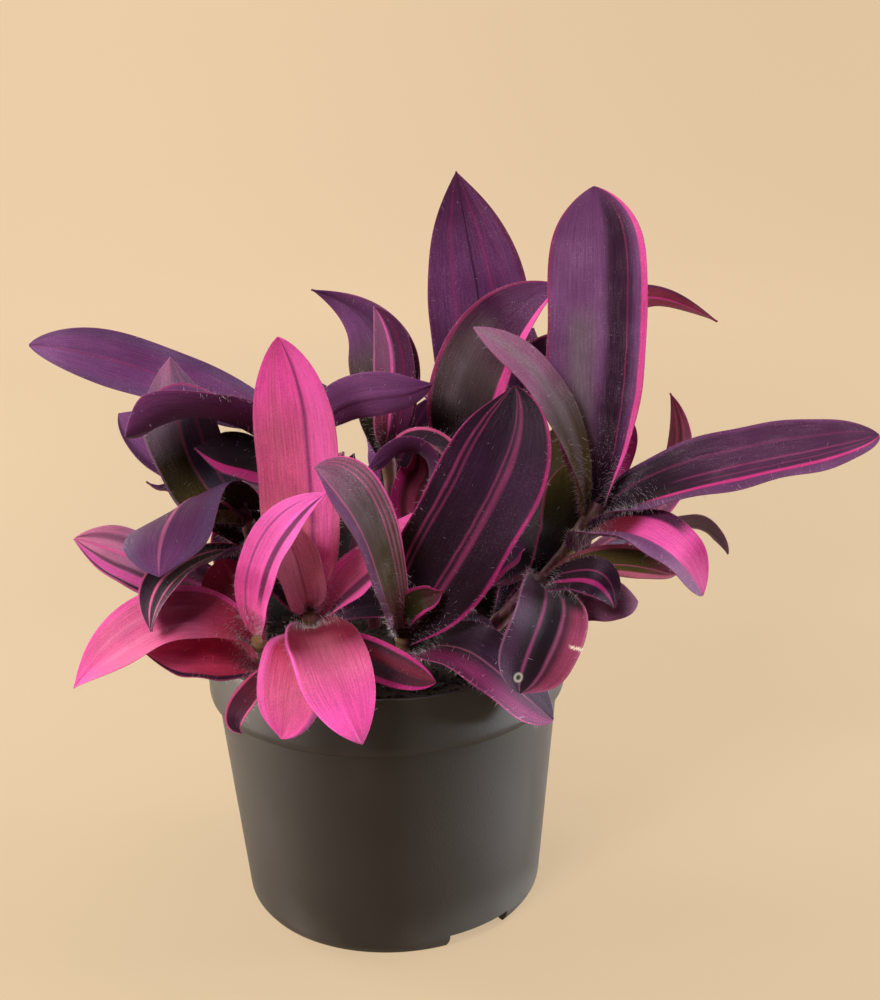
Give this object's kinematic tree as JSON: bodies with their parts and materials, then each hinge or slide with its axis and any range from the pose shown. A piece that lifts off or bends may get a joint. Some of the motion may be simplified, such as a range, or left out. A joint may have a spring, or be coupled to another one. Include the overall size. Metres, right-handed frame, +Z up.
{
  "type": "potted tradescantia",
  "caption": "Bushy tradescantia with long pointed purple and pink leaves, rooted in soil in a plain round nursery pot with a wide rim band.",
  "frame": {"origin": "middle of the flat underside of the pot, on the surface that it stands on", "axes": "+Z up, along the axis of the pot; -Y towards the side with the bright pink shoot, which is seen first; +X to the right of that side"},
  "size_m": [0.2603, 0.186, 0.2401],
  "materials": {
    "pot_plastic": "satin dark grey-brown moulded plastic",
    "soil": null,
    "leaf_pink": null,
    "leaf_purple": null
  },
  "bodies": {
    "root": {"pot": "pot_plastic", "soil": "soil", "shoot_pink_front": "leaf_pink", "shoot_pink_left": "leaf_pink", "shoot_left_low": "leaf_purple", "shoot_left_tall": "leaf_purple", "shoot_back_left": "leaf_purple", "shoot_back_mid": "leaf_purple", "shoot_right_tall": "leaf_purple", "shoot_right_low": "leaf_purple", "shoot_front_mid": "leaf_purple", "shoot_centre": "leaf_purple", "shoot_rear_left": "leaf_purple", "shoot_rear_mid": "leaf_purple", "shoot_rear_right": "leaf_purple"}
  },
  "joints": []
}
